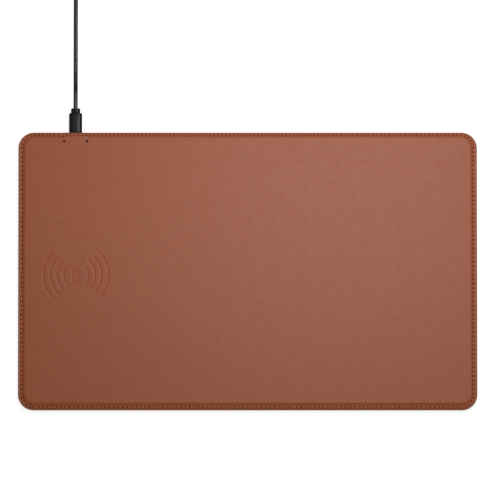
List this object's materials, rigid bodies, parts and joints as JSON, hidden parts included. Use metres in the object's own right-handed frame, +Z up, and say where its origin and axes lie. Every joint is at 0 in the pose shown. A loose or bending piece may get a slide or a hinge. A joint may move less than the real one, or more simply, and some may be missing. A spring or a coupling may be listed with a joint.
{
  "type": "wireless charging desk pad",
  "caption": "Thin leather-look desk pad with a stitched hem, an embossed charging mark, two light holes and a plug-in USB lead.",
  "frame": {"origin": "on the desk, under the middle of the pad", "axes": "+X along the long side, the light holes and charging mark lie towards -X; +Y towards the back edge where the lead plugs in; +Z up"},
  "size_m": [0.35, 0.3816, 0.0079],
  "materials": {
    "cover_leather": "fine-grained leather-look sheet, low sheen",
    "thread": "twisted polyester sewing thread",
    "base_rubber": "dark brown anti-slip sheet, matt",
    "board": "raw fibreboard",
    "foam": "thin closed-cell foam",
    "black_plastic": "moulded, fine texture",
    "circuit_board": "solder mask",
    "chip_epoxy": "moulded epoxy",
    "ceramic": "fired ceramic",
    "ferrite": "sintered, matt",
    "light_clear": "clear moulded plastic",
    "plated_steel": "nickel plated",
    "gold_plate": "gold flash",
    "tape": "amber film",
    "copper_wire": "enamelled copper strands",
    "wire_jacket": "thin insulated wire",
    "moulded_grip": "soft black moulding, satin",
    "cable_jacket": "smooth black jacket, satin",
    "tie_strap": "flat black strap"
  },
  "bodies": {
    "pad": {"top_cover": "cover_leather", "top_stitching": "thread", "bottom_stitching": "thread", "base_sheet": "base_rubber", "core_board": "board", "foam_layer": "foam", "module_tray": "black_plastic", "module_lid": "black_plastic", "port_bezel": "black_plastic", "main_board": "circuit_board", "controller_chip": "chip_epoxy", "power_transistors": "chip_epoxy", "resonant_capacitors": "ceramic", "input_inductor": "ferrite", "ceramic_capacitors": "ceramic", "chip_resistors": "chip_epoxy", "status_lights": "light_clear", "light_pipes": "light_clear", "socket_shell": "plated_steel", "socket_tongue": "black_plastic", "socket_contacts": "gold_plate", "coil_tape": "tape", "ferrite_plate": "ferrite", "transmitter_coil": "copper_wire", "coil_leads": "copper_wire", "coil_thermistor": "chip_epoxy", "thermistor_leads": "wire_jacket", "lead_tape": "tape"},
    "lead": {"plug_sleeve": "plated_steel", "plug_insert": "black_plastic", "plug_contacts": "gold_plate", "plug_grip": "moulded_grip", "plug_collar": "moulded_grip", "lead_cable": "cable_jacket", "lead_tail": "cable_jacket", "lead_coil": "cable_jacket", "cable_tie": "tie_strap", "usb_a_strain_relief": "moulded_grip", "usb_a_grip": "moulded_grip", "usb_a_sleeve": "plated_steel", "usb_a_insert": "black_plastic", "usb_a_contacts": "gold_plate"}
  },
  "joints": [
    {"name": "usb_plug_slide", "type": "slide", "parent": "pad", "child": "lead", "axis": [0, 1, 0], "range_m": [0, 0.02]}
  ]
}
